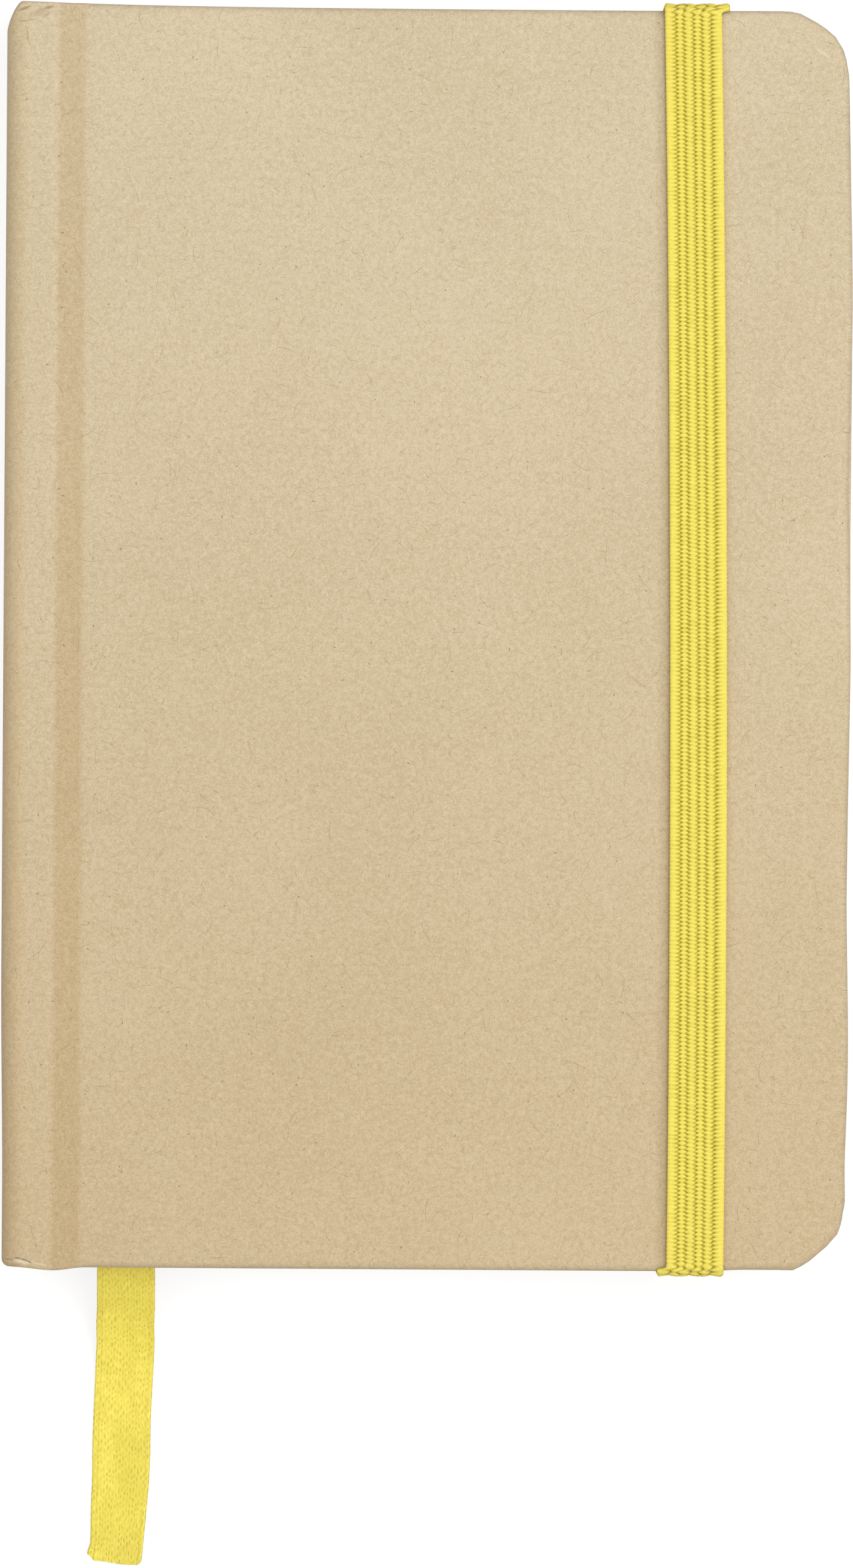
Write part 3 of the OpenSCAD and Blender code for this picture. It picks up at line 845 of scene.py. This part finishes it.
def band_sway(y, z):
    """How far the elastic lies off its straight course: it is slightly skewed and bowed."""
    w = y / Y_HEAD
    sway = BAND_SHIFT - BAND_SKEW * w - BAND_BOW * w * w
    if z < Z_BACK + 1 * MM:
        sway *= smoothstep(SLIT_Y, Y_HEAD - 1 * MM, abs(y))
    return sway


def band_point(sample, rib, v, outer):
    """A point of the elastic, its UV and its relief."""
    (y, z, ny, nz), s = sample
    size = math.hypot(ny, nz)
    ny, nz = ny / size, nz / size
    phase = s / BAND_PICK
    u = mix(band_border(rib, phase), band_border(rib + 1, phase), v) * MM
    width = sum(BAND_COLUMNS) * MM
    relief = stitch(rib, v, phase) if outer else 0.3
    angle = math.degrees(math.atan2(abs(ny), nz))
    turned = smoothstep(20, 42, angle) * (1 - smoothstep(95, 150, angle))
    spread = 0.9 * MM * u / width if y > 0 else 1.0 * MM * (u / width - 1)
    lobes = 0.06 * MM * (1 + math.cos(2 * math.pi * (3 * u / width - 0.5)))
    height = 0
    if outer:
        rim = max(0, abs(u / width - 0.5) * 2 - 0.94) / 0.06
        height = BAND_BODY * (0.4 + 0.6 * math.sqrt(max(0, 1 - min(1, rim) ** 2)))
        height += BAND_RELIEF * relief - turned * lobes
    x = (band_low.x + band_high.x - width) / 2 + u + band_sway(y, z) + turned * spread
    return Vector((x, y + ny * height, z + nz * height)), (u, s), relief


def elastic(material):
    """The elastic's loop, knitted stitch by stitch on its outer face."""
    samples = even_steps(band_route(), BAND_PICK / PICK_STEPS)
    last = len(BAND_COLUMNS) - 1
    loop = [(rib, v, True) for rib, v in band_chart()]
    loop += [(last, 1.0, False), (last, 0.6, False), (2, 0.5, False), (0, 0.4, False), (0, 0.0, False)]
    return loop_grid("elastic_weave", len(samples), len(loop),
                     lambda i, j: band_point(samples[i], *loop[j]), [material])


# The ribbon's route, as the part has it: its glued end, its exit from the pages, and the
# loose length from there along X and Y in millimetres, with its height as a share of the
# middle of the pages and its turn in degrees
RIBBON_END = Vector((X_SPINE + 7.3 * MM, Y_HEAD - 4 * MM, Z_MID))
RIBBON_EXIT = Vector((X_SPINE + 13.9 * MM, FORE_SQUARE - Y_HEAD, Z_MID))
RIBBON_W, RIBBON_T = 6.6 * MM, 0.3 * MM
INSIDE_STEPS = 4
LOOSE_ROUTE = (
    (0.1, -2, 0.985, 0), (0.1, -4, 0.91, 0), (0.1, -6, 0.77, 0), (0.1, -8, 0.575, 0),
    (0, -10, 0.385, 0), (0, -12, 0.23, 0), (-0.1, -14, 0.13, 0), (-0.2, -16.5, 0.07, 0),
    (-0.3, -19, 0.055, 1), (-0.4, -22, 0.055, 2), (-0.45, -25, 0.065, 4), (-0.5, -28, 0.1, 9),
    (-0.65, -31, 0.165, 17), (-0.8, -34, 0.22, 23), (-0.95, -37, 0.26, 28),
)


def ribbon_route():
    """Points of the ribbon's line from its glued end, each with the ribbon's turn there."""
    inside = [RIBBON_END.lerp(RIBBON_EXIT, i / INSIDE_STEPS) for i in range(INSIDE_STEPS + 1)]
    route = [(p, 0.0) for p in inside]
    for dx, dy, share, turn in LOOSE_ROUTE:
        place = Vector((RIBBON_EXIT.x + dx * MM, RIBBON_EXIT.y + dy * MM, Z_MID * share))
        route.append((place, math.radians(turn)))
    return route


def smooth_route(route, step):
    """Points a step apart on a smooth curve through the route, with their turns and lengths."""
    result = []
    last = len(route) - 1
    for i in range(last):
        p0, p1 = route[max(i - 1, 0)], route[i]
        p2, p3 = route[i + 1], route[min(i + 2, last)]
        span = (p2[0] - p1[0]).length
        count = max(1, round(span / step))
        for k in range(count):
            t = k / count
            w = (-0.5 * t + t * t - 0.5 * t ** 3, 1 - 2.5 * t * t + 1.5 * t ** 3,
                 0.5 * t + 2 * t * t - 1.5 * t ** 3, -0.5 * t * t + 0.5 * t ** 3)
            place = p0[0] * w[0] + p1[0] * w[1] + p2[0] * w[2] + p3[0] * w[3]
            result.append((place, mix(p1[1], p2[1], t)))
    result.append(route[-1])
    return result


def ribbon_frame(line, i):
    """The ribbon's place, its way along, across and out of its face at a point of its line."""
    place, turn = line[i]
    way = (line[min(i + 1, len(line) - 1)][0] - line[max(i - 1, 0)][0]).normalized()
    flat = Vector((-way.y, way.x, 0)).normalized()
    up = flat.cross(way)
    up = -up if up.z < 0 else up
    across = flat * math.cos(turn) + up * math.sin(turn)
    out = across.cross(way)
    return place, way, across, -out if out.z < 0 else out


def ribbon(material):
    """The ribbon with its slanted cut end, its line and its length."""
    line = smooth_route(ribbon_route(), 0.5 * MM)
    lengths = [0.0]
    for a, b in zip(line, line[1:]):
        lengths.append(lengths[-1] + (b[0] - a[0]).length)
    outer, half_t = 24, RIBBON_T * 0.3
    shares = [k / outer * 2 - 1 for k in range(outer + 1)]
    loop = [(t, 1) for t in shares] + [(-t, -1) for t in shares]

    def place(i, j):
        """A point of the ribbon, with its cut end rough and slightly curled."""
        middle, way, across, out = ribbon_frame(line, i)
        t, side = loop[j]
        at_end = smoothstep(lengths[-1] - 2.5 * MM, lengths[-1], lengths[i])
        rough = 0.06 * math.sin(4.1 * t + 0.6) + 0.08 * noise.noise(Vector((t * 7, 3.3, 0.2)))
        cut = rough + 0.2 * t - 0.75 * smoothstep(-0.74, -1, t) - 0.5 * smoothstep(0.86, 1, t)
        curl = at_end * smoothstep(-0.5, -1, t)
        width = RIBBON_W / 2 * 0.992 * t + 0.06 * MM * noise.noise(Vector((lengths[i] * 180, t * 2, 6.1)))
        point = middle + across * (width - 0.2 * MM * curl)
        point += out * (side * half_t + 0.05 * MM * t * t + 0.35 * MM * curl)
        point += way * at_end * cut * MM
        return point, (t * RIBBON_W / 2, lengths[i]), 0.0

    piece = loop_grid("ribbon_satin", len(line), len(loop), place, [material])
    return piece, [p for p, _ in line], lengths[-1]


def dress(node, material):
    """Gives a carried-over CAD node its finish."""
    piece = frame["nodes"][node]
    piece.data.materials.clear()
    piece.data.materials.append(material)


def camera():
    """Looks straight down on the front cover, as the photograph does."""
    data = bpy.data.cameras.new("camera")
    made = bpy.data.objects.new("camera", data)
    bpy.context.scene.collection.objects.link(made)
    distance = 1.4
    data.sensor_width = 36
    data.lens = data.sensor_width * distance / (PHOTO_H / PHOTO_SCALE)
    data.clip_start, data.clip_end = 0.05, 20
    made.location = (*PHOTO_MIDDLE, Z_FRONT + distance)
    made.rotation_euler = (0, 0, PHOTO_TURN)
    bpy.context.scene.camera = made


def lamp(name, size, power, place, aim):
    """A soft box of light, turned towards a point."""
    data = bpy.data.lights.new(name, "AREA")
    data.shape = "RECTANGLE"
    data.size, data.size_y = size
    data.energy = power
    made = bpy.data.objects.new(name, data)
    made.location = place
    made.rotation_mode = "QUATERNION"
    made.rotation_quaternion = (Vector(aim) - Vector(place)).to_track_quat("-Z", "Y")
    bpy.context.scene.collection.objects.link(made)


def seen_rays(tree):
    """1 where the camera, a mirror or glass looks at the background, else 0."""
    path = tree.nodes.new("ShaderNodeLightPath")
    seen = path.outputs["Is Camera Ray"]
    for kind in ("Is Glossy Ray", "Is Transmission Ray"):
        either = tree.nodes.new("ShaderNodeMath")
        either.operation = "MAXIMUM"
        tree.links.new(seen, either.inputs[0])
        tree.links.new(path.outputs[kind], either.inputs[1])
        seen = either.outputs[0]
    return seen


def world_light():
    """An even pale surround that the camera sees as plain white."""
    world = bpy.data.worlds.new("studio")
    bpy.context.scene.world = world
    world.use_nodes = True
    tree = world.node_tree
    background = tree.nodes["Background"]
    strength = tree.nodes.new("ShaderNodeMapRange")
    tree.links.new(seen_rays(tree), strength.inputs[0])
    strength.inputs[3].default_value = 0.66
    strength.inputs[4].default_value = 1.0
    tree.links.new(strength.outputs[0], background.inputs["Strength"])
    background.inputs["Color"].default_value = (1, 1, 1, 1)


def floor():
    """A plain pale floor that keeps the shadow."""
    bm = bmesh.new()
    bmesh.ops.create_grid(bm, x_segments=1, y_segments=1, size=3)
    n = Nodes("pale floor")
    n.finish((0.32, 0.32, 0.32, 1), 0.9, Specular_IOR_Level=0.1)
    n.shader.inputs["Emission Color"].default_value = (1, 1, 1, 1)
    n.put(n.math("MULTIPLY", seen_rays(n.tree), 0.78), n.shader.inputs["Emission Strength"])
    new_object("floor", bm, [n.material])


def stage():
    """Floor, surround and two soft lamps."""
    world_light()
    floor()
    lamp("key", (0.6, 0.6), 3.85, (0.42, 0.06, 0.82), (0, 0, 0))
    lamp("fill", (0.5, 0.5), 0.7, (-0.55, 0.0, 0.60), (0, 0, 0))


def main():
    """Makes the pieces, gives each its finish, attaches the ribbon, the leaves and the elastic to their
    bodies, and sets the stage.
    """
    bpy.context.scene.view_settings.view_transform = "Standard"
    camera()

    kraft = kraft_paper()
    paper = page_paper("writing paper")
    ruled = page_paper("ruled paper", ruled=True)

    satin, path, length = ribbon(satin_ribbon())
    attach(satin, "text_block")
    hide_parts("ribbon_marker")

    front = kraft_wrap("front_wrap", kraft, back=False)
    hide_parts("front_cover_paper", "front_board", "spine_paper", "spine_board")
    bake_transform(front)

    rear = kraft_wrap("back_wrap", kraft, back=True)
    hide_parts("back_cover_paper", "back_board")
    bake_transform(rear)

    leaves = pages(paper, ruled)
    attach(leaves, "text_block")
    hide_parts("page_block")

    band = elastic(woven_elastic())
    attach(band, "back_cover")
    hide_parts("elastic_band")
    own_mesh(band)

    dress("front_endpaper", paper)
    dress("back_endpaper", paper)
    dress("spine_lining", gauze())

    stage()


main()
